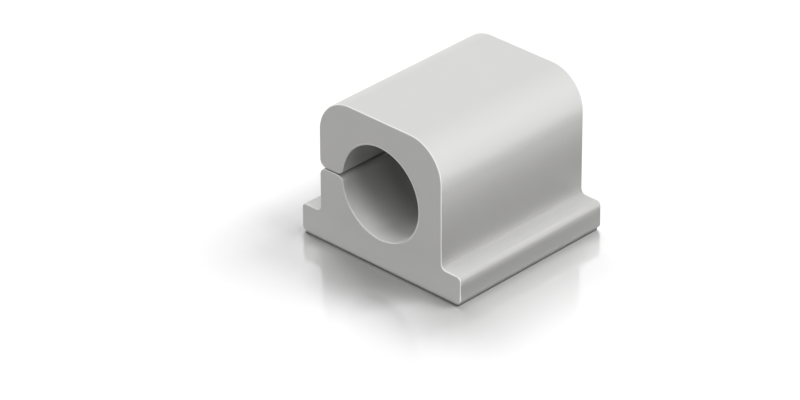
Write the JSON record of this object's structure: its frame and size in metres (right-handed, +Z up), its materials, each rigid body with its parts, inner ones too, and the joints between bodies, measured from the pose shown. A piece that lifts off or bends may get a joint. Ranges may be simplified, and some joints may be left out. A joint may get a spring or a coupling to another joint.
{
  "type": "adhesive cable clip",
  "caption": "Soft plastic cable clip with a round lead channel, a slit that opens as a jaw, and a wide foot on a thin adhesive pad.",
  "frame": {"origin": "middle of the adhesive pad's underside, on the surface the clip is stuck to", "axes": "+X across the clip, away from the slit; +Y along the cable channel; +Z up from the surface, out of the foot"},
  "size_m": [0.021, 0.02, 0.0162],
  "materials": {
    "clip_plastic": "silver-grey flexible plastic with a soft satin surface",
    "adhesive": "grey double-sided adhesive foam sheet with a dull tacky underside"
  },
  "bodies": {
    "root": {"clip_body": "clip_plastic", "adhesive_pad": "adhesive"}
  },
  "joints": []
}
